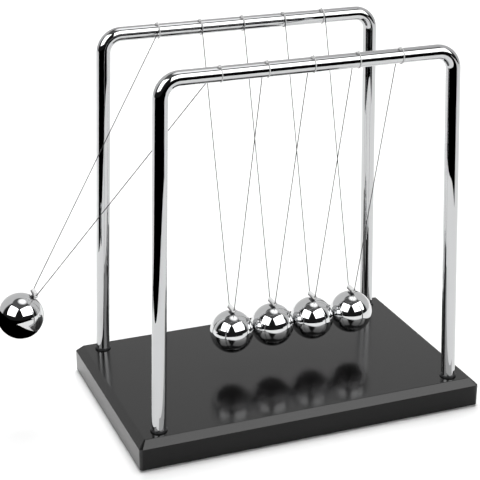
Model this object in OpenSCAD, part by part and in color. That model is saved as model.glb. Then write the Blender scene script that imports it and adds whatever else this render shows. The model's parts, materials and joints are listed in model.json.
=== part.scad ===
// Newton's cradle: five steel balls on nylon lines between two bent tube frames on a black board.
// X runs along the rails, +Y to the rear, +Z up. The origin is the centre of the resting face.

/* [Base] */
// Length of the board along X
board_w = 180; // [170:1:200]
// Depth of the board along Y
board_d = 114; // [108:1:130]
// Thickness of the board
board_t = 14.4; // [12:0.2:18]
// Chamfer round the board's top edge
board_chamfer = 3.4; // [2:0.2:5]
// Radius of the board's upright corners
board_corner_r = 1.6; // [1:0.2:4]
// Thickness of the felt under the board
felt_t = 0.8; // [0.6:0.1:2]
// How far the felt stops short of the board's edge
felt_inset = 1.5; // [1:0.5:6]

/* [Frames] */
// Outer diameter of the frame tube
tube_d = 7; // [6:0.2:8]
// Wall of the frame tube
tube_wall = 0.8; // [0.6:0.1:1.2]
// Radius of the tube's bend, on its centreline
bend_r = 9; // [7:0.5:14]
// Distance between one frame's legs at the board
foot_span_x = 154.8; // [150:0.2:160]
// Distance between one frame's legs at the rail
rail_span_x = 143.6; // [140:0.2:150]
// Distance between the front and rear feet
foot_span_y = 94.4; // [90:0.2:98]
// Distance between the front and rear rails
rail_span_y = 87.6; // [84:0.2:90]
// Height of the rails' centreline
rail_z = 184; // [170:1:200]
// Depth of each leg in the board
leg_depth = 9; // [7:0.5:10]

/* [Feet] */
// Outer diameter of the collar round each leg
collar_d = 8.2; // [8.2:0.1:10]
// Height of the collar above the board
collar_h = 0.7; // [0.6:0.1:3]
// Length of the threaded plug in each leg
insert_len = 12; // [8:1:16]
// Thread diameter of the frame screws
screw_d = 3; // [2.5:0.5:3]
// Diameter of the screw heads
screw_head_d = 5.6; // [5:0.2:7]
// Diameter of the counterbores under the board
counterbore_d = 8; // [7:0.5:10]

/* [Balls] */
// Diameter of each ball
ball_d = 22.2; // [20:0.2:24]
// Gap between two hanging balls
ball_gap = 0.1; // [0.05:0.01:0.2]
// Height of the hanging balls' centres
ball_z = 36.3; // [34:0.1:40]
// How far the left ball is swung out, in degrees
raised_angle = 35; // [10:1:60]

/* [Lines] */
// Diameter of the nylon line
line_d = 0.4; // [0.3:0.05:0.6]
// Outer diameter of the sleeve on each ball
sleeve_d = 2.2; // [1.6:0.1:2.4]
// Length of the sleeve
sleeve_len = 6; // [5:0.5:10]
// Height of the sleeve's axis above the ball's centre
sleeve_rise = 12.9; // [12.8:0.1:14]
// Bend of the line where it leaves the sleeve
line_bend_r = 0.6; // [0.5:0.1:2]

/* [Hidden] */
// The balls are numbered from the left
ball_count = 5;
$fn = 64;

tube_r = tube_d / 2;
line_r = line_d / 2;
ball_r = ball_d / 2;
board_top = felt_t + board_t;
pitch = ball_d + ball_gap;

// Running gap between parts that meet
fit_gap = 0.05;
// Overshoot of a cutter past the face it cuts
cut = 1;

// Each leg's socket, wide enough for the collar's skirt
collar_socket_d = tube_d + 0.8;
// How far the skirt stops above the socket's floor
skirt_gap = 1;
// Height of the collar's rim above the board, so that the leaning rim clears it
rim_lift = 0.2;

// The bends run a few degrees into the straights, and are thinner by enough to stay under their surface
bend_overlap = 4;
bend_thinning = 0.04;

// The screw holes from below, and what sits in them
counterbore_h = 4;
screw_clearance = 0.4;
washer_d = counterbore_d - 1;
washer_t = 0.5;
washer_bore_d = screw_d + 0.3;
screw_head_h = 2;
recess_w = 3.2;
recess_slot = 0.7;
recess_depth = 1;

// A saddle on a stem, glued in a blind hole under a small flat on top of the ball
saddle_wall = 0.35;
saddle_len = sleeve_len - 0.6;
// How far the saddle's edges stop below the sleeve's axis
saddle_drop = 0.2;
stem_d = 1.6;
stem_depth = 5;
glue_gap = 1;
flat_d = 3.2;
flat_rise = 10.85;

// The line's bore through the sleeve
sleeve_bore_d = line_d + 0.2;

// A leg's slope from plumb, towards the middle in X and in Y
leg_rise = rail_z - board_top;
lean_x = atan((foot_span_x - rail_span_x) / 2 / leg_rise);
lean_y = atan((foot_span_y - rail_span_y) / 2 / leg_rise);

// Gap between the rail and the line that goes round it
wrap_gap = 0.02;
// The line leaves the sleeve level, bends up and runs straight to touch the rail's inner side
sleeve_z = ball_z + sleeve_rise;
wrap_r = tube_r + line_r + wrap_gap;
run_y = rail_span_y / 2 - sleeve_len / 2;
run_z = rail_z - sleeve_z - line_bend_r;
line_slope = acos((wrap_r + line_bend_r) / norm([run_y, run_z])) - atan2(run_z, run_y);
pivot_y = rail_span_y / 2 - wrap_r * cos(line_slope);
pivot_z = rail_z + wrap_r * sin(line_slope);

// A loop sits beside its line, on the side that the ball doesn't swing to
loop_offset = 0.5;
// The knot is left of its loop, turned from the top of the rail towards the front
knot_d = 2;
knot_offset = 0.9;
knot_turn = 20;

BLACK = [0.07, 0.07, 0.08];
FELT = [0.12, 0.12, 0.13];
CHROME = [0.80, 0.81, 0.83];
STEEL = [0.62, 0.63, 0.65];
COLLAR = [0.20, 0.20, 0.21];
NYLON = [0.72, 0.72, 0.72];

function ball_x(k) = (k - (ball_count + 1) / 2) * pitch;
function swing_of(k) = k == 1 ? raised_angle : 0;
function side_sign(side) = side == "front" ? -1 : 1;
function loop_x(k) = ball_x(k) + (k == ball_count ? -loop_offset : loop_offset);

// ---- Base ----

module rounded_rectangle(w, d, r) {
    square([w - 2 * r, d], center = true);
    square([w, d - 2 * r], center = true);
    for (x = [-1, 1], y = [-1, 1])
        translate([x * (w / 2 - r), y * (d / 2 - r)])
            circle(r = r);
}

// A board's section across its width w, with both top edges cut off at 45 degrees
module chamfered_section(w) {
    polygon([
        [-w / 2, 0], [w / 2, 0], [w / 2, board_t - board_chamfer], [w / 2 - board_chamfer, board_t],
        [-w / 2 + board_chamfer, board_t], [-w / 2, board_t - board_chamfer]
    ]);
}

// Places its children at a foot: their origin where the leg's axis meets the board's top, +Z up the leg
module at_foot(x_sign, y_sign) {
    translate([x_sign * foot_span_x / 2, y_sign * foot_span_y / 2, board_top])
        rotate([y_sign * lean_y, 0, 0])
            rotate([0, -x_sign * lean_x, 0])
                children();
}

module at_each_foot() {
    for (x_sign = [-1, 1], y_sign = [-1, 1])
        at_foot(x_sign, y_sign)
            children();
}

// Height of the counterbore's floor, measured from the board's top along the leg
seat_z = -board_t + counterbore_h;

module base_board() {
    color(BLACK)
        difference() {
            translate([0, 0, felt_t])
                intersection() {
                    linear_extrude(board_t)
                        rounded_rectangle(board_w, board_d, board_corner_r);
                    rotate([90, 0, 0])
                        translate([0, 0, -board_d / 2])
                            linear_extrude(board_d)
                                chamfered_section(board_w);
                    rotate([90, 0, 90])
                        translate([0, 0, -board_w / 2])
                            linear_extrude(board_w)
                                chamfered_section(board_d);
                }
            at_each_foot() {
                translate([0, 0, -leg_depth])
                    cylinder(d = collar_socket_d, h = leg_depth + cut);
                translate([0, 0, -board_t - cut])
                    cylinder(d = screw_d + screw_clearance, h = board_t);
                translate([0, 0, -board_t - cut])
                    cylinder(d = counterbore_d, h = counterbore_h + cut);
            }
        }
}

module base_felt() {
    color(FELT)
        linear_extrude(felt_t)
            rounded_rectangle(board_w - 2 * felt_inset, board_d - 2 * felt_inset, board_corner_r);
}

// ---- Frames ----

// One frame's bar of radius r, in its own upright plane, from the legs' ends to the rail
module frame_bar(r, leg_extra = 0) {
    slant_rise = leg_rise / cos(lean_y);
    corner_x = rail_span_x / 2;
    // Distance from the corner to where the bend meets the rail and the leg
    bend_back = bend_r * tan((90 - lean_x) / 2);
    leg_run = slant_rise / cos(lean_x) - bend_back + leg_depth + leg_extra;
    rotate([0, 90, 0])
        cylinder(r = r, h = 2 * (corner_x - bend_back), center = true);
    for (end = [0, 1])
        mirror([end, 0, 0])
            translate([corner_x - bend_back, 0, 0]) {
                translate([0, 0, -bend_r])
                    rotate([90, 0, 0])
                        rotate([0, 0, lean_x - bend_overlap])
                            rotate_extrude(angle = 90 - lean_x + 2 * bend_overlap)
                                translate([bend_r, 0])
                                    circle(r = r - bend_thinning);
                translate([bend_r * cos(lean_x), 0, -bend_r * (1 - sin(lean_x))])
                    rotate([0, -lean_x, 0])
                        translate([0, 0, -leg_run])
                            cylinder(r = r, h = leg_run);
            }
}

module frame(side) {
    y_sign = side_sign(side);
    color(CHROME)
        translate([0, y_sign * rail_span_y / 2, rail_z])
            rotate([y_sign * lean_y, 0, 0])
                difference() {
                    frame_bar(tube_r);
                    frame_bar(tube_r - tube_wall, cut);
                }
}

// ---- Feet ----

module collar(x_sign, y_sign) {
    color(COLLAR)
        at_foot(x_sign, y_sign)
            difference() {
                union() {
                    translate([0, 0, -leg_depth + skirt_gap])
                        cylinder(d = collar_socket_d - 2 * fit_gap, h = leg_depth);
                    translate([0, 0, rim_lift])
                        cylinder(d = collar_d, h = collar_h - rim_lift);
                }
                translate([0, 0, -leg_depth])
                    cylinder(d = tube_d + 2 * fit_gap, h = leg_depth + collar_h + cut);
            }
}

// A threaded steel plug pressed into the end of each leg
module leg_inserts() {
    color(STEEL)
        at_each_foot()
            translate([0, 0, -leg_depth])
                difference() {
                    cylinder(d = tube_d - 2 * tube_wall - 2 * fit_gap, h = insert_len);
                    translate([0, 0, -cut])
                        cylinder(d = screw_d + 2 * fit_gap, h = insert_len + 2 * cut);
                }
}

module screw_washers() {
    color(STEEL)
        at_each_foot()
            translate([0, 0, seat_z - washer_t - fit_gap])
                difference() {
                    cylinder(d = washer_d, h = washer_t);
                    translate([0, 0, -cut])
                        cylinder(d = washer_bore_d, h = washer_t + 2 * cut);
                }
}

// A cross-recessed screw up through the board into each plug
module frame_screws() {
    head_top = seat_z - washer_t - 2 * fit_gap;
    color(STEEL)
        at_each_foot()
            difference() {
                union() {
                    translate([0, 0, head_top - screw_head_h])
                        cylinder(d = screw_head_d, h = screw_head_h);
                    translate([0, 0, head_top - fit_gap])
                        cylinder(d = screw_d, h = insert_len);
                }
                for (turn = [0, 90])
                    translate([0, 0, head_top - screw_head_h])
                        rotate([0, 0, turn])
                            cube([recess_w, recess_slot, 2 * recess_depth], center = true);
            }
}

// ---- Balls and lines ----

// Turns its children with ball k about its pivot axis, which runs along Y
module swung(k) {
    translate([ball_x(k), 0, pivot_z])
        rotate([0, swing_of(k), 0])
            translate([0, 0, -pivot_z])
                children();
}

module ball(k) {
    color(CHROME)
        swung(k)
            difference() {
                translate([0, 0, ball_z])
                    sphere(r = ball_r);
                translate([0, 0, ball_z + flat_rise])
                    cylinder(d = flat_d, h = ball_r);
                translate([0, 0, ball_z + ball_r - stem_depth - glue_gap])
                    cylinder(d = stem_d + 2 * fit_gap, h = ball_r);
            }
}

// The sleeve lies front to back in the saddle
module saddle(k) {
    color(STEEL)
        swung(k)
            difference() {
                union() {
                    translate([0, 0, sleeve_z])
                        rotate([90, 0, 0])
                            cylinder(d = sleeve_d + 2 * saddle_wall, h = saddle_len, center = true);
                    translate([0, 0, ball_z + ball_r - stem_depth])
                        cylinder(d = stem_d, h = sleeve_rise - ball_r + stem_depth);
                }
                translate([0, 0, sleeve_z])
                    rotate([90, 0, 0])
                        cylinder(d = sleeve_d + 2 * fit_gap, h = saddle_len + cut, center = true);
                translate([-sleeve_d, -saddle_len, sleeve_z - saddle_drop])
                    cube([2 * sleeve_d, 2 * saddle_len, sleeve_d]);
            }
}

module sleeve(k) {
    color(NYLON)
        swung(k)
            translate([0, 0, sleeve_z])
                rotate([90, 0, 0])
                    difference() {
                        cylinder(d = sleeve_d, h = sleeve_len, center = true);
                        cylinder(d = sleeve_bore_d, h = sleeve_len + 2 * cut, center = true);
                    }
}

// The rear half of the line's route, as [y, z] points from the sleeve's middle to the pivot
route_bend_steps = 8;
half_route = concat(
    [[0, sleeve_z]],
    [for (i = [0:route_bend_steps])
        let (turn = (90 - line_slope) * i / route_bend_steps)
            [sleeve_len / 2 + line_bend_r * sin(turn), sleeve_z + line_bend_r * (1 - cos(turn))]],
    [[pivot_y, pivot_z]]
);
route = concat(
    [for (i = [len(half_route) - 1:-1:1]) [-half_route[i].x, half_route[i].y]],
    half_route
);

// Sides of the line's section
line_sides = 8;

// The direction of the route at point i, halfway between the two stretches that meet there
function route_heading(i) =
    let (before = route[max(i - 1, 0)], after = route[min(i + 1, len(route) - 1)])
        (after - before) / norm(after - before);

function line_ring(i) =
    let (heading = route_heading(i))
        [for (s = [0:line_sides - 1])
            let (a = 360 * s / line_sides)
                [
                    line_r * cos(a),
                    route[i].x - line_r * sin(a) * heading.y,
                    route[i].y + line_r * sin(a) * heading.x
                ]];

module line(k) {
    rings = len(route);
    last = (rings - 1) * line_sides;
    color(NYLON)
        swung(k)
            polyhedron(
                points = [for (i = [0:rings - 1]) each line_ring(i)],
                faces = concat(
                    [[for (s = [line_sides - 1:-1:0]) s]],
                    [for (i = [0:rings - 2], s = [0:line_sides - 1])
                        let (a = i * line_sides, n = (s + 1) % line_sides)
                            [a + s, a + n, a + line_sides + n, a + line_sides + s]],
                    [[for (s = [0:line_sides - 1]) last + s]]
                )
            );
}

// One turn of line round the rail, with its knot beside it
module rail_loop(side, k) {
    y_sign = side_sign(side);
    color(NYLON)
        translate([loop_x(k), y_sign * rail_span_y / 2, rail_z]) {
            rotate([0, 90, 0])
                rotate_extrude()
                    translate([wrap_r, 0])
                        circle(r = line_r);
            rotate([knot_turn, 0, 0])
                translate([-knot_offset, 0, wrap_r - line_r + knot_d / 2])
                    sphere(d = knot_d);
        }
}

base_board();
base_felt();
frame("front");  // front_frame
frame("rear");  // rear_frame
leg_inserts();
frame_screws();
screw_washers();
collar(-1, -1);  // collar_front_left
collar(1, -1);  // collar_front_right
collar(-1, 1);  // collar_rear_left
collar(1, 1);  // collar_rear_right
for (k = [1:ball_count]) {
    ball(k);
    saddle(k);
    sleeve(k);
    line(k);
    rail_loop("front", k);
    rail_loop("rear", k);
}
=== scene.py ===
import json
import math

import bmesh
import bpy
from mathutils import Matrix, Vector


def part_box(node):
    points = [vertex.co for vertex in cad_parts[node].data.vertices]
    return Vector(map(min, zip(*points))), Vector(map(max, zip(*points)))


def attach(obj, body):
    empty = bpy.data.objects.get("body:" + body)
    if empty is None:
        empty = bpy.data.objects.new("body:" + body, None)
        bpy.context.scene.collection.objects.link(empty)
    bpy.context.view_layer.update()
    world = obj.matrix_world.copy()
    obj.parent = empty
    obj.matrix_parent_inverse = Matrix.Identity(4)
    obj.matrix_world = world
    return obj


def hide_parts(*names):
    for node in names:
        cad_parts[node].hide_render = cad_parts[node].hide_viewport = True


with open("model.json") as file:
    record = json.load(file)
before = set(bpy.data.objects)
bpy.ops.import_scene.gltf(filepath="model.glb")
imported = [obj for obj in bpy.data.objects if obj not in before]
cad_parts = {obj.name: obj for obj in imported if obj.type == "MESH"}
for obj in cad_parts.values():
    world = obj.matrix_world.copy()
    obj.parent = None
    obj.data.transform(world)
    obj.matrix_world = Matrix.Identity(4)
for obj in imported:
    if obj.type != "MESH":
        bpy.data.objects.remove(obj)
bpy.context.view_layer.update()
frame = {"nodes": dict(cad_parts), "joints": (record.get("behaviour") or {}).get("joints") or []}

# Newton's cradle: looks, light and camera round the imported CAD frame.
# Metres, in the CAD frame: X along the rails, +Y to the rear, +Z up, the origin under the base.

MM = 0.001
NODES = frame["nodes"]
BALL_NUMBERS = range(1, 6)
SIDES = {"front": -1, "rear": 1}
X_AXIS, Y_AXIS = Vector((1, 0, 0)), Vector((0, 1, 0))

# Sizes that the CAD part is driven by
TUBE_D = 7 * MM
TUBE_WALL = 0.8 * MM
BEND_R = 9 * MM
FOOT_SPAN = (154.8 * MM, 94.4 * MM)
RAIL_SPAN = (143.6 * MM, 87.6 * MM)
RAIL_Z = 184 * MM
LEG_DEPTH = 9 * MM
BOARD_CHAMFER = 3.4 * MM
BOARD_CORNER_R = 1.6 * MM
SOCKET_D = 7.8 * MM
COUNTERBORE_D = 8 * MM
COUNTERBORE_H = 4 * MM
SCREW_HOLE_D = 3.4 * MM
BALL_Z = 36.3 * MM
LINE_D = 0.4 * MM
LINE_BEND_R = 0.6 * MM
SLEEVE_LEN = 6 * MM
SLEEVE_RISE = 12.9 * MM
WRAP_GAP = 0.02 * MM
KNOT_D = 2 * MM
KNOT_OFFSET = 0.9 * MM
KNOT_TURN = math.radians(20)
LOOP_OFFSET = 0.5 * MM
RAISED_ANGLE = math.radians(35)

# Places read from the frame
BOARD_LO, BOARD_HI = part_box("base_board")
BOARD_TOP = BOARD_HI.z
PIVOTS = {j["child"]: Vector(j["pos_m"]) for j in frame["joints"]}
PIVOT_Z = PIVOTS["pendulum_1"].z
LEG_RISE = RAIL_Z - BOARD_TOP
LEAN = [math.atan((foot - rail) / 2 / LEG_RISE) for foot, rail in zip(FOOT_SPAN, RAIL_SPAN)]


# ---- Small helpers ----

def add(name, data):
    obj = bpy.data.objects.new(name, data)
    bpy.context.scene.collection.objects.link(obj)
    return obj


SHARP_ANGLE = 30
LINE_SHARP_ANGLE = 60


def mesh_piece(name, bm, sharp_angle=SHARP_ANGLE):
    """A mesh object from a bmesh, smooth except across edges sharper than sharp_angle degrees."""
    bmesh.ops.recalc_face_normals(bm, faces=bm.faces)
    for face in bm.faces:
        face.smooth = True
    for edge in bm.edges:
        if len(edge.link_faces) == 2:
            edge.smooth = edge.calc_face_angle() < math.radians(sharp_angle)
    data = bpy.data.meshes.new(name)
    bm.to_mesh(data)
    bm.free()
    return add(name, data)


def circle(centre, u, v, radius, sides):
    """Points round the centre, in the plane of the unit vectors u and v."""
    turns = [2 * math.pi * i / sides for i in range(sides)]
    return [centre + (u * math.cos(a) + v * math.sin(a)) * radius for a in turns]


def skin(bm, rings, closed=False):
    """Add quads between rings of points to bm, and return the rings of vertices. Both ends stay open."""
    made = [[bm.verts.new(point) for point in ring] for ring in rings]
    for a, b in zip(made, made[1:] + made[:1] if closed else made[1:]):
        for i in range(len(a)):
            j = (i + 1) % len(a)
            bm.faces.new((a[i], a[j], b[j], b[i]))
    return made


def cap(bm, made):
    """Close both ends of a skin."""
    bm.faces.new(made[0][::-1])
    bm.faces.new(made[-1])


def carried_normals(headings, closed):
    """A sideways direction for each heading, turned along with the path to keep its skin from twisting."""
    normals = [headings[0].orthogonal().normalized()]
    for before, after in zip(headings, headings[1:]):
        normals.append(before.rotation_difference(after) @ normals[-1])
    if closed:
        back = headings[-1].rotation_difference(headings[0]) @ normals[-1]
        twist = math.atan2(headings[0].dot(back.cross(normals[0])), back.dot(normals[0]))
        normals = [Matrix.Rotation(twist * i / len(headings), 3, heading) @ normal
                   for i, (heading, normal) in enumerate(zip(headings, normals))]
    return normals


def add_tube(bm, points, radius, sides, closed=False):
    """Skin a round tube along the points into bm. A closed path joins up, an open one is capped."""
    count = len(points)
    last = count - 1
    before = [points[(i - 1) % count if closed else max(i - 1, 0)] for i in range(count)]
    after = [points[(i + 1) % count if closed else min(i + 1, last)] for i in range(count)]
    headings = [(b - a).normalized() for a, b in zip(before, after)]
    normals = carried_normals(headings, closed)
    made = skin(bm, [circle(point, normal, heading.cross(normal), radius, sides)
                     for point, heading, normal in zip(points, headings, normals)], closed)
    if not closed:
        cap(bm, made)


def arc(centre, radius, start, end, steps):
    """Points [u, v] on an arc, angles in degrees."""
    angles = [math.radians(start + (end - start) * i / steps) for i in range(steps + 1)]
    return [(centre[0] + radius * math.cos(a), centre[1] + radius * math.sin(a)) for a in angles]


def swung(k):
    """The move of pendulum k from hanging straight down to where the CAD stores it."""
    pivot = PIVOTS[f"pendulum_{k}"]
    angle = RAISED_ANGLE if k == 1 else 0
    return Matrix.Translation(pivot) @ Matrix.Rotation(angle, 4, "Y") @ Matrix.Translation(-pivot)


# ---- Camera ----

CAMERA_TARGET = Vector((-0.0178, 0, 0.0856))
CAMERA_AZIMUTH = math.radians(-21.35)
CAMERA_ELEVATION = math.radians(21.76)
CAMERA_DISTANCE = 0.6946
CAMERA_LENS = 104.77
SENSOR_WIDTH = 36
CLIP_NEAR, CLIP_FAR = 0.05, 50


def direction(azimuth, elevation):
    """The unit vector towards an azimuth (0 is -Y, 90 degrees is +X) and elevation, in radians."""
    level = math.cos(elevation)
    return Vector((math.sin(azimuth) * level, -math.cos(azimuth) * level, math.sin(elevation)))


def make_camera():
    data = bpy.data.cameras.new("camera")
    data.lens = CAMERA_LENS
    data.sensor_width = SENSOR_WIDTH
    data.clip_start, data.clip_end = CLIP_NEAR, CLIP_FAR
    camera = add("camera", data)
    back = direction(CAMERA_AZIMUTH, CAMERA_ELEVATION)
    camera.location = CAMERA_TARGET + back * CAMERA_DISTANCE
    camera.rotation_euler = (-back).to_track_quat("-Z", "Y").to_euler()
    bpy.context.scene.camera = camera


make_camera()


# ---- Lines: each from the front rail down through its ball's sleeve and up to the rear rail ----

SLEEVE_Z = BALL_Z + SLEEVE_RISE
WRAP_R = TUBE_D / 2 + LINE_D / 2 + WRAP_GAP
PIVOT_Y = RAIL_SPAN[1] / 2 - math.sqrt(WRAP_R ** 2 - (PIVOT_Z - RAIL_Z) ** 2)
LINE_SLOPE = math.asin((PIVOT_Z - RAIL_Z) / WRAP_R)
LINE_BEND_STEPS = 8
LINE_SIDES = 16


def line_route():
    """The hanging line's points [y, z], from the front rail to the rear one."""
    turn = 90 - math.degrees(LINE_SLOPE)
    bend = arc((SLEEVE_LEN / 2, SLEEVE_Z + LINE_BEND_R), LINE_BEND_R, -90, turn - 90, LINE_BEND_STEPS)
    half = [*bend, (PIVOT_Y, PIVOT_Z)]
    return [(-y, z) for y, z in reversed(half)] + half


def make_line(k):
    route = line_route()
    x = PIVOTS[f"pendulum_{k}"].x
    points = [swung(k) @ Vector((x, y, z)) for y, z in route]
    bm = bmesh.new()
    add_tube(bm, points, LINE_D / 2, LINE_SIDES)
    line = mesh_piece(f"nylon_line_{k}", bm, sharp_angle=LINE_SHARP_ANGLE)
    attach(line, f"pendulum_{k}")
    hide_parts(f"line_{k}")
    return line


LINES = [make_line(k) for k in BALL_NUMBERS]


# ---- Loops: each line's turn round a rail, and the knot that ends it ----

WRAP_STEPS = 72
# A loop has slid along the rail to its own place by 1 / WRAP_EASE of its way round
WRAP_EASE = 1.4
LOOP_SIDES = 12
KNOT_STEPS = 48
KNOT_HEIGHT = 1.1 * MM
KNOT_STRAND_D = 0.5 * MM
KNOT_REACH = KNOT_D / 2 - KNOT_STRAND_D / 2
KNOT_RISE = KNOT_HEIGHT / 2 - KNOT_STRAND_D / 2


def rail_point(side, x, angle, radius):
    """A point beside a rail, angle 0 on the side towards the other rail and 90 degrees on top."""
    sign = SIDES[side]
    rail_y = sign * RAIL_SPAN[1] / 2
    return Vector((x, rail_y - sign * radius * math.cos(angle), RAIL_Z + radius * math.sin(angle)))


def knot_angle(side):
    """Where the knot sits round the rail: turned from the top towards the front on both rails."""
    return math.radians(90) - SIDES[side] * KNOT_TURN


def loop_x(k):
    """Where loop k sits along the rail: beside its line, on the side that its ball doesn't swing to."""
    return PIVOTS[f"pendulum_{k}"].x + (-LOOP_OFFSET if k == BALL_NUMBERS[-1] else LOOP_OFFSET)


def wrap_points(side, k):
    """Over a turn round the rail, from where the line touches it to the knot."""
    start, end = LINE_SLOPE, math.radians(360) + knot_angle(side)
    x = PIVOTS[f"pendulum_{k}"].x
    points = []
    for i in range(WRAP_STEPS + 1):
        share = i / WRAP_STEPS
        along_rail = x + (loop_x(k) - x) * min(1, share * WRAP_EASE)
        points.append(rail_point(side, along_rail, start + (end - start) * share, WRAP_R))
    return points


def knot_points(side, k):
    """A tight overhand knot beside the loop: a flat trefoil as wide as the CAD's bead."""
    x = loop_x(k) - KNOT_OFFSET
    angle = knot_angle(side)
    centre = rail_point(side, x, angle, WRAP_R - LINE_D / 2 + KNOT_HEIGHT / 2)
    out = (centre - rail_point(side, x, angle, 0)).normalized()
    across = out.cross(X_AXIS)
    points = []
    for i in range(KNOT_STEPS):
        t = 2 * math.pi * i / KNOT_STEPS
        radial = (math.sin(t) + 2 * math.sin(2 * t)) / 3
        lateral = (math.cos(t) - 2 * math.cos(2 * t)) / 3
        flat = (X_AXIS * radial + across * lateral) * KNOT_REACH
        points.append(centre + flat - out * math.sin(3 * t) * KNOT_RISE)
    return points


def make_loop(side, k):
    bm = bmesh.new()
    add_tube(bm, wrap_points(side, k), LINE_D / 2, LOOP_SIDES)
    add_tube(bm, knot_points(side, k), KNOT_STRAND_D / 2, LOOP_SIDES, closed=True)
    loop = mesh_piece(f"{side}_wrap_{k}", bm, sharp_angle=LINE_SHARP_ANGLE)
    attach(loop, "stand")
    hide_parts(f"{side}_loop_{k}")
    return loop


LOOPS = [make_loop(side, k) for side in SIDES for k in BALL_NUMBERS]


# ---- Frames: one bent tube each ----

TUBE_SIDES = 96
BEND_STEPS = 32


def frame_path():
    """The tube's centreline in its own upright plane, from the left leg's end to the right one."""
    corner = RAIL_SPAN[0] / 2
    lean = LEAN[0]
    back = BEND_R * math.tan((math.pi / 2 - lean) / 2)
    slant = LEG_RISE / math.cos(LEAN[1]) / math.cos(lean)
    run = slant - back + LEG_DEPTH
    bend_centre = (corner - back, -BEND_R)
    bend = arc(bend_centre, BEND_R, 90, math.degrees(lean), BEND_STEPS)
    end = (bend[-1][0] + run * math.sin(lean), bend[-1][1] - run * math.cos(lean))
    right = [*bend, end]
    return [(-x, z) for x, z in reversed(right)] + right


def tube_rings(path, radius):
    """Rings of the given radius square to a path that lies in the XZ plane."""
    rings = []
    for i, point in enumerate(path):
        before, after = path[max(i - 1, 0)], path[min(i + 1, len(path) - 1)]
        heading = Vector((after[0] - before[0], 0, after[1] - before[1])).normalized()
        normal = Vector((-heading.z, 0, heading.x))
        rings.append(circle(Vector((point[0], 0, point[1])), normal, Y_AXIS, radius, TUBE_SIDES))
    return rings


def make_frame(side):
    path = frame_path()
    outer = tube_rings(path, TUBE_D / 2)
    inner = tube_rings(path, TUBE_D / 2 - TUBE_WALL)
    sign = SIDES[side]
    rail = Matrix.Translation((0, sign * RAIL_SPAN[1] / 2, RAIL_Z))
    place = rail @ Matrix.Rotation(sign * LEAN[1], 4, "X")
    bm = bmesh.new()
    skin(bm, [[place @ p for p in ring] for ring in outer + inner[::-1]], closed=True)
    tube = mesh_piece(f"{side}_tube", bm)
    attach(tube, "stand")
    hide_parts(f"{side}_frame")
    return tube


FRAMES = [make_frame(side) for side in SIDES]


# ---- Base: the lacquered board with softened edges ----

EDGE_R = 0.5 * MM
FOOT_R = 0.3 * MM
CORNER_STEPS = 10
EDGE_STEPS = 5
# How much of the edge's inset the corners' radius gives up
CORNER_TIGHTENING = 0.3
HOLE_SIDES = 64
# Overshoot of a hole's cutter past the face it cuts
CUT = 1 * MM


def rounded_ring(half_x, half_y, radius, z):
    """A rounded rectangle of points at height z."""
    ring = []
    for sx, sy, start in ((1, 1, 0), (-1, 1, 90), (-1, -1, 180), (1, -1, 270)):
        centre = (sx * (half_x - radius), sy * (half_y - radius))
        ring += [Vector((u, v, z)) for u, v in arc(centre, radius, start, start + 90, CORNER_STEPS)]
    return ring


def board_profile():
    """The edge's outline as (inset, z), from the underside to the top, with every edge softened."""
    low, high = BOARD_LO.z, BOARD_TOP
    slope_start = high - BOARD_CHAMFER
    soft = EDGE_R * math.tan(math.radians(22.5))
    under = [(FOOT_R - u, v) for u, v in arc((0, low + FOOT_R), FOOT_R, -90, 0, EDGE_STEPS)]
    lower_centre = (EDGE_R, slope_start - soft)
    lower = [(lower_centre[0] - (u - lower_centre[0]), v)
             for u, v in arc(lower_centre, EDGE_R, 0, 45, EDGE_STEPS)]
    upper_centre = (BOARD_CHAMFER + soft, high - EDGE_R)
    upper = [(upper_centre[0] - (u - upper_centre[0]), v)
             for u, v in arc(upper_centre, EDGE_R, 45, 90, EDGE_STEPS)]
    return under + lower + upper


def cutter(name, radius, low, high, place):
    """A cylinder up a leg's axis, for a hole in the board."""
    bm = bmesh.new()
    rings = [circle(Vector((0, 0, z)), X_AXIS, Y_AXIS, radius, HOLE_SIDES) for z in (low, high)]
    cap(bm, skin(bm, [[place @ p for p in ring] for ring in rings]))
    return mesh_piece(name, bm)


def cut_hole(board, name, radius, low, high, place):
    tool = cutter(name, radius, low, high, place)
    hole = board.modifiers.new("hole", "BOOLEAN")
    hole.object = tool
    hole.operation = "DIFFERENCE"
    hole.solver = "EXACT"
    bpy.context.view_layer.objects.active = board
    bpy.ops.object.modifier_apply(modifier=hole.name)
    bpy.data.objects.remove(tool)


def foot_places():
    """Each foot's place: the origin where the leg's axis meets the board's top, +Z up the leg."""
    for sx in (-1, 1):
        for sy in (-1, 1):
            yield (Matrix.Translation((sx * FOOT_SPAN[0] / 2, sy * FOOT_SPAN[1] / 2, BOARD_TOP))
                   @ Matrix.Rotation(sy * LEAN[1], 4, "X") @ Matrix.Rotation(-sx * LEAN[0], 4, "Y"))


def even_shading(board):
    """Mark the holes' edges sharp, and keep each flat face flat in shading beside its soft edge."""
    bm = bmesh.new()
    bm.from_mesh(board.data)
    for face in bm.faces:
        face.smooth = True
    for edge in bm.edges:
        edge.smooth = len(edge.link_faces) == 2 and edge.calc_face_angle() < math.radians(SHARP_ANGLE)
    bm.to_mesh(board.data)
    bm.free()
    weigh = board.modifiers.new("even_shading", "WEIGHTED_NORMAL")
    weigh.keep_sharp = True
    weigh.mode = "FACE_AREA"
    bpy.context.view_layer.objects.active = board
    bpy.ops.object.modifier_apply(modifier=weigh.name)


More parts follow.
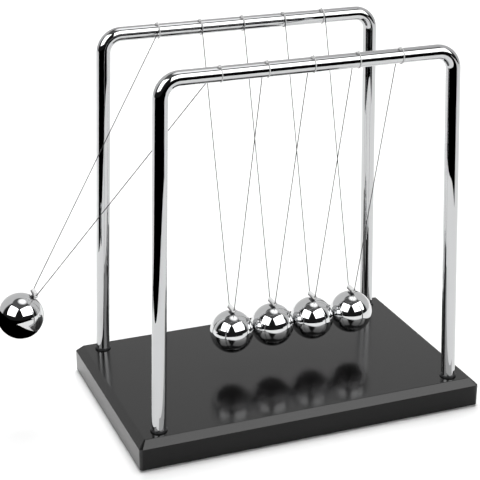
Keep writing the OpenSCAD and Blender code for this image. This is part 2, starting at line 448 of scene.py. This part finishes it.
def make_board():
    half_x, half_y = BOARD_HI.x, BOARD_HI.y
    rings = []
    for inset, z in board_profile():
        radius = max(BOARD_CORNER_R - inset * CORNER_TIGHTENING, EDGE_R)
        rings.append(rounded_ring(half_x - inset, half_y - inset, radius, z))
    bm = bmesh.new()
    cap(bm, skin(bm, rings))
    board = mesh_piece("lacquered_board", bm)
    under = BOARD_LO.z - BOARD_TOP
    for i, place in enumerate(foot_places()):
        cut_hole(board, f"socket_{i}", SOCKET_D / 2, -LEG_DEPTH, CUT, place)
        cut_hole(board, f"screw_hole_{i}", SCREW_HOLE_D / 2, under - CUT, -CUT, place)
        cut_hole(board, f"counterbore_{i}", COUNTERBORE_D / 2, under - CUT, under + COUNTERBORE_H, place)
    even_shading(board)
    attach(board, "stand")
    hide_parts("base_board")
    return board


BOARD = make_board()


# ---- Materials ----

def new_material(name, color, metallic=0.0, roughness=0.5, **sockets):
    """A Principled material with these values on its sockets; returns it, its nodes and the shader."""
    made = bpy.data.materials.new(name)
    made.use_nodes = True
    tree = made.node_tree
    shader = tree.nodes["Principled BSDF"]
    shader.inputs["Base Color"].default_value = (*color, 1)
    shader.inputs["Metallic"].default_value = metallic
    shader.inputs["Roughness"].default_value = roughness
    for socket, value in sockets.items():
        shader.inputs[socket.replace("_", " ")].default_value = value
    return made, tree, shader


def noise(tree, scale, detail=3.0, roughness=0.5, stretch=None):
    """A noise value over the surface; scale is in features per metre."""
    made = tree.nodes.new("ShaderNodeTexNoise")
    made.inputs["Scale"].default_value = scale
    made.inputs["Detail"].default_value = detail
    made.inputs["Roughness"].default_value = roughness
    source = tree.nodes.new("ShaderNodeTexCoord").outputs["Object"]
    if stretch:
        mapping = tree.nodes.new("ShaderNodeMapping")
        mapping.inputs["Scale"].default_value = stretch
        tree.links.new(source, mapping.inputs["Vector"])
        source = mapping.outputs["Vector"]
    tree.links.new(source, made.inputs["Vector"])
    return made.outputs["Fac"]


def ranged(tree, value, low, high, to_low, to_high):
    """The value mapped from low..high to to_low..to_high, and held at the ends."""
    made = tree.nodes.new("ShaderNodeMapRange")
    made.inputs["From Min"].default_value = low
    made.inputs["From Max"].default_value = high
    made.inputs["To Min"].default_value = to_low
    made.inputs["To Max"].default_value = to_high
    tree.links.new(value, made.inputs["Value"])
    return made.outputs["Result"]


def blended(tree, value, a, b):
    """A colour between a and b by value."""
    made = tree.nodes.new("ShaderNodeMix")
    made.data_type = "RGBA"
    tree.links.new(value, made.inputs["Factor"])
    made.inputs["A"].default_value = (*a, 1)
    made.inputs["B"].default_value = (*b, 1)
    return made.outputs["Result"]


def grey(level):
    return (level, level, level)


def colored(tree, shader, value, a, b):
    """Let the base colour run from a to b with the value."""
    tree.links.new(blended(tree, value, a, b), shader.inputs["Base Color"])


def roughened(tree, shader, value, span, rough):
    """Let the roughness run over the pair rough while the value runs over the pair span."""
    tree.links.new(ranged(tree, value, *span, *rough), shader.inputs["Roughness"])


def bumped(tree, shader, height, distance):
    """Let the surface rise by up to the distance with the height value."""
    made = tree.nodes.new("ShaderNodeBump")
    made.inputs["Distance"].default_value = distance
    made.inputs["Strength"].default_value = 1.0
    tree.links.new(height, made.inputs["Height"])
    tree.links.new(made.outputs["Normal"], shader.inputs["Normal"])


# Noise values keep near 0.5, so roughness follows this stretch of them
NOISE_SPAN = (0.3, 0.7)


def chrome(name, color, smudge_scale, rough):
    """Polished chrome with faint smudges in its roughness."""
    made, tree, shader = new_material(name, color, metallic=1.0)
    smudges = noise(tree, smudge_scale, detail=5.0, roughness=0.6)
    roughened(tree, shader, smudges, (0.45, 0.75), rough)
    colored(tree, shader, smudges, color, tuple(c * 0.96 for c in color))
    return made


def lacquer():
    """Deep black lacquer with a slight haze and a trace of orange peel."""
    made, tree, shader = new_material("black_lacquer", grey(0.0025), IOR=1.45)
    haze = noise(tree, 60, detail=4.0)
    roughened(tree, shader, haze, (0.35, 0.7), (0.14, 0.18))
    colored(tree, shader, haze, grey(0.002), (0.0035, 0.0034, 0.0034))
    bumped(tree, shader, noise(tree, 900, detail=2.0), 0.002 * MM)
    return made


def felt():
    made, tree, shader = new_material("black_felt", grey(0.02), roughness=0.95, Sheen_Weight=0.4)
    fibres = noise(tree, 2500, detail=6.0, roughness=0.7)
    colored(tree, shader, fibres, grey(0.008), (0.04, 0.04, 0.042))
    bumped(tree, shader, fibres, 0.2 * MM)
    return made


def collar_plastic():
    made, tree, shader = new_material("collar_plastic", (0.02, 0.02, 0.022))
    grain = noise(tree, 3000, detail=4.0)
    roughened(tree, shader, grain, NOISE_SPAN, (0.28, 0.45))
    colored(tree, shader, grain, (0.012, 0.012, 0.013), (0.03, 0.03, 0.032))
    bumped(tree, shader, grain, 0.02 * MM)
    return made


def satin_steel(name, color):
    """Turned steel with fine marks, closer together along Z."""
    made, tree, shader = new_material(name, color, metallic=1.0)
    marks = noise(tree, 1500, detail=5.0, stretch=(1, 1, 12))
    roughened(tree, shader, marks, NOISE_SPAN, (0.2, 0.42))
    colored(tree, shader, marks, color, tuple(c * 0.75 for c in color))
    bumped(tree, shader, marks, 0.01 * MM)
    return made


def sleeve_nylon():
    made, tree, shader = new_material("sleeve_nylon", grey(0.6), IOR=1.5)
    cloud = noise(tree, 900)
    roughened(tree, shader, cloud, NOISE_SPAN, (0.28, 0.42))
    colored(tree, shader, cloud, grey(0.5), grey(0.65))
    return made


def nylon(name, dark, light):
    """Nylon line between two tones. The lines get a pair far darker than clear nylon, so that so thin a line
    shows against the bright floor: painted shade for the dark edges a clear line shows. The loops get a mid
    grey: painted light for the light a clear line gathers over the rail."""
    made, tree, shader = new_material(name, light, Specular_IOR_Level=0.1)
    cloud = noise(tree, 400, detail=2.0)
    roughened(tree, shader, cloud, NOISE_SPAN, (0.22, 0.38))
    colored(tree, shader, cloud, dark, light)
    return made


def flat_card(name, color):
    """A card's material: matt, with no gloss at all."""
    return new_material(name, color, roughness=1.0, Specular_IOR_Level=0)[0]


def assign(material, *objects):
    for obj in objects:
        obj.data.materials.clear()
        obj.data.materials.append(material)


def nodes_named(*stems):
    return [obj for name, obj in NODES.items() if name.startswith(stems)]


BALL_CHROME = chrome("ball_chrome", (0.64, 0.645, 0.65), smudge_scale=90, rough=(0.01, 0.03))
FRAME_CHROME = chrome("frame_chrome", (0.52, 0.525, 0.53), smudge_scale=60, rough=(0.015, 0.04))
HARDWARE = nodes_named("leg_inserts", "frame_screws", "screw_washers")
assign(BALL_CHROME, *nodes_named("ball_"))
assign(FRAME_CHROME, *FRAMES)
assign(lacquer(), BOARD)
assign(felt(), *nodes_named("base_felt"))
assign(collar_plastic(), *nodes_named("collar_"))
assign(satin_steel("saddle_steel", (0.12, 0.12, 0.125)), *nodes_named("saddle_"))
assign(satin_steel("zinc_steel", (0.6, 0.6, 0.62)), *HARDWARE)
assign(sleeve_nylon(), *nodes_named("sleeve_"))
# One clear nylon in two tones: painted shade makes the lines near black, painted light makes the loops mid
# grey
assign(nylon("nylon_line", grey(0.012), grey(0.025)), *LINES)
assign(nylon("nylon_knot", grey(0.42), grey(0.5)), *LOOPS)


# ---- Studio: floor, lights, the world round them, and cards that only reflections see ----

FLOOR_REACH = 2.2
FLOOR_SHADES = (grey(0.84), grey(0.86))
SOFTBOX_DISTANCE = 3.2
SOFTBOX_RADIANCE = 3.4
# The world's light: a lamp overhead, the rear wall, the dark room in front and the ceiling
LAMP_LIGHT = 2.0
WALL_LIGHT = 0.74
DARK_LIGHT = 0.015
CEILING_LIGHT = 0.12
LAMP_DIRECTION = (math.radians(118), math.radians(77))
# The lamp fades in between these two cosines of the angle off its middle
LAMP_EDGE = (math.cos(math.radians(20)), math.cos(math.radians(7)))
WALL_DIRECTION = (0.34, 0.94, 0)
WALL_EDGE = (0.02, 0.16)
CEILING_EDGE = (0.84, 0.88)


def make_floor():
    bm = bmesh.new()
    corners = [(-1, -1), (1, -1), (1, 1), (-1, 1)]
    bm.faces.new([bm.verts.new((x * FLOOR_REACH, y * FLOOR_REACH, 0)) for x, y in corners])
    floor = mesh_piece("floor", bm)
    made, tree, shader = new_material("pale_floor", grey(0.85), roughness=0.9, Specular_IOR_Level=0)
    colored(tree, shader, noise(tree, 3, detail=2.0), *FLOOR_SHADES)
    assign(made, floor)


def softbox(name, azimuth, elevation, width, height, roll):
    """An area light that spans these angles, in degrees, as seen from the balls. Only gloss shows it."""
    data = bpy.data.lights.new(name, "AREA")
    data.shape = "RECTANGLE"
    data.size = 2 * SOFTBOX_DISTANCE * math.tan(math.radians(width / 2))
    data.size_y = 2 * SOFTBOX_DISTANCE * math.tan(math.radians(height / 2))
    data.energy = SOFTBOX_RADIANCE * math.pi * data.size * data.size_y
    light = add(name, data)
    towards = direction(math.radians(azimuth), math.radians(elevation))
    light.location = Vector((0, 0, BALL_Z)) + towards * SOFTBOX_DISTANCE
    turn = Matrix.Rotation(math.radians(roll), 3, towards)
    light.rotation_euler = (turn @ (-towards).to_track_quat("-Z", "Y").to_matrix()).to_euler()
    light.visible_camera = False
    light.visible_diffuse = False


def matt_light(name, place, aim, size, watts):
    """A light for everything matt. Chrome and lacquer don't mirror it."""
    data = bpy.data.lights.new(name, "AREA")
    data.size = size
    data.energy = watts
    light = add(name, data)
    light.location = place
    light.rotation_euler = (Vector(aim) - Vector(place)).to_track_quat("-Z", "Y").to_euler()
    light.visible_camera = False
    light.visible_glossy = False


def along(tree, coordinates, towards):
    """How nearly each direction points the given way, from -1 to 1."""
    made = tree.nodes.new("ShaderNodeVectorMath")
    made.operation = "DOT_PRODUCT"
    made.inputs[1].default_value = towards
    tree.links.new(coordinates.outputs["Generated"], made.inputs[0])
    return made.outputs["Value"]


def make_world():
    """A grey wall at the rear, a lamp in a darker ceiling, a dark front, and white for the camera."""
    world = bpy.data.worlds.new("studio")
    bpy.context.scene.world = world
    world.use_nodes = True
    tree = world.node_tree
    background = tree.nodes["Background"]
    coordinates = tree.nodes.new("ShaderNodeTexCoord")
    split = tree.nodes.new("ShaderNodeSeparateXYZ")
    tree.links.new(coordinates.outputs["Generated"], split.inputs["Vector"])
    rear = along(tree, coordinates, WALL_DIRECTION)
    wall = ranged(tree, rear, *WALL_EDGE, DARK_LIGHT, WALL_LIGHT)
    high = ranged(tree, split.outputs["Z"], *CEILING_EDGE, 0, 1)
    lamp = along(tree, coordinates, direction(*LAMP_DIRECTION))
    glow = ranged(tree, lamp, *LAMP_EDGE, CEILING_LIGHT, LAMP_LIGHT)
    ceiling = tree.nodes.new("ShaderNodeMix")
    tree.links.new(high, ceiling.inputs["Factor"])
    tree.links.new(wall, ceiling.inputs["A"])
    tree.links.new(glow, ceiling.inputs["B"])
    path = tree.nodes.new("ShaderNodeLightPath")
    seen = tree.nodes.new("ShaderNodeMix")
    tree.links.new(path.outputs["Is Camera Ray"], seen.inputs["Factor"])
    tree.links.new(ceiling.outputs["Result"], seen.inputs["A"])
    seen.inputs["B"].default_value = 1.0
    tree.links.new(seen.outputs["Result"], background.inputs["Strength"])
    background.inputs["Color"].default_value = (1, 1, 1, 1)


CARD_Z = 0.4 * MM
BLACK_CARD = flat_card("card_black", grey(0))
# The grey card is painted shadow on the floor, seen only in reflections
SHADOW_GREY_CARD = flat_card("card_grey", grey(0.42))


def make_card(name, bm, material):
    card = mesh_piece(name, bm)
    assign(material, card)
    card.visible_camera = False
    card.visible_diffuse = False
    card.visible_shadow = False


# The table's edge in the reflections: part of an ellipse, from the left round to the front right
TABLE_CENTRE = (0.06, 0.02)
TABLE_AXES = (0.33, 0.42)
TABLE_EDGE = (math.radians(172), math.radians(305))
CARD_REACH = 5
CARD_STEPS = 60


def make_table_edge_card():
    """A black card on the floor, from the table's edge outwards."""
    bm = bmesh.new()
    start, end = TABLE_EDGE
    rows = []
    for i in range(CARD_STEPS + 1):
        a = start + (end - start) * i / CARD_STEPS
        row = [(TABLE_CENTRE[0] + across * math.cos(a), TABLE_CENTRE[1] + deep * math.sin(a), CARD_Z)
               for across, deep in (TABLE_AXES, (CARD_REACH, CARD_REACH))]
        rows.append([bm.verts.new(point) for point in row])
    for a, b in zip(rows, rows[1:]):
        bm.faces.new((a[0], a[1], b[1], b[0]))
    make_card("table_edge_card", bm, BLACK_CARD)


FRONT_CARD_GAP = 1 * MM
FRONT_CARD_REACH = 40 * MM
FRONT_CARD_FLARE = 20 * MM


def make_front_shadow_card():
    """A grey card on the floor along the board's front, wider at its far right end: painted shadow that only
    reflections show, in the board's front face and the nearby leg.
    """
    bm = bmesh.new()
    near, far = BOARD_LO.y - FRONT_CARD_GAP, BOARD_LO.y - FRONT_CARD_REACH
    left, right = BOARD_LO.x, BOARD_HI.x
    corners = [(left, near), (right, near), (right + FRONT_CARD_FLARE, far), (left, far)]
    bm.faces.new([bm.verts.new((x, y, CARD_Z)) for x, y in corners])
    make_card("front_card", bm, SHADOW_GREY_CARD)


# About 3 mm clear of the ball
CUP_R = 14.042 * MM
# How far below level, from the ball's centre, the cup's rim is
CUP_RIM = math.radians(-15)
CUP_SIDES = 48
CUP_RINGS = 16


def make_painted_shade_cup():
    """A black cup close under the raised ball: painted shade that only reflections show, so that its
    underside is as dark as a hanging one's.
    """
    centre = Vector((PIVOTS["pendulum_1"].x, 0, BALL_Z))
    rings = []
    for i in range(CUP_RINGS):
        drop = CUP_RIM + (-math.pi / 2 - CUP_RIM) * i / CUP_RINGS
        turns = [2 * math.pi * n / CUP_SIDES for n in range(CUP_SIDES)]
        rings.append([swung(1) @ (centre + direction(turn, drop) * CUP_R) for turn in turns])
    bm = bmesh.new()
    bm.faces.new(skin(bm, rings)[-1])
    make_card("raised_cup", bm, BLACK_CARD)


make_floor()
make_world()
make_table_edge_card()
make_front_shadow_card()
make_painted_shade_cup()
softbox("softbox_left", azimuth=-65, elevation=38.5, width=44, height=42, roll=2)
softbox("softbox_right", azimuth=30, elevation=39, width=59, height=42, roll=-6.6)
matt_light("near_table", (0, 0.2, 3), aim=(0, 0.2, 0), size=1.6, watts=68)
matt_light("far_table", (0.6, 1.9, 2), aim=(0.6, 1.9, 0), size=2.5, watts=30)
matt_light("front_fill", (-1.2, -3, 0.8), aim=(0, 0, 0.1), size=1.5, watts=85)
bpy.context.scene.view_settings.view_transform = "Standard"
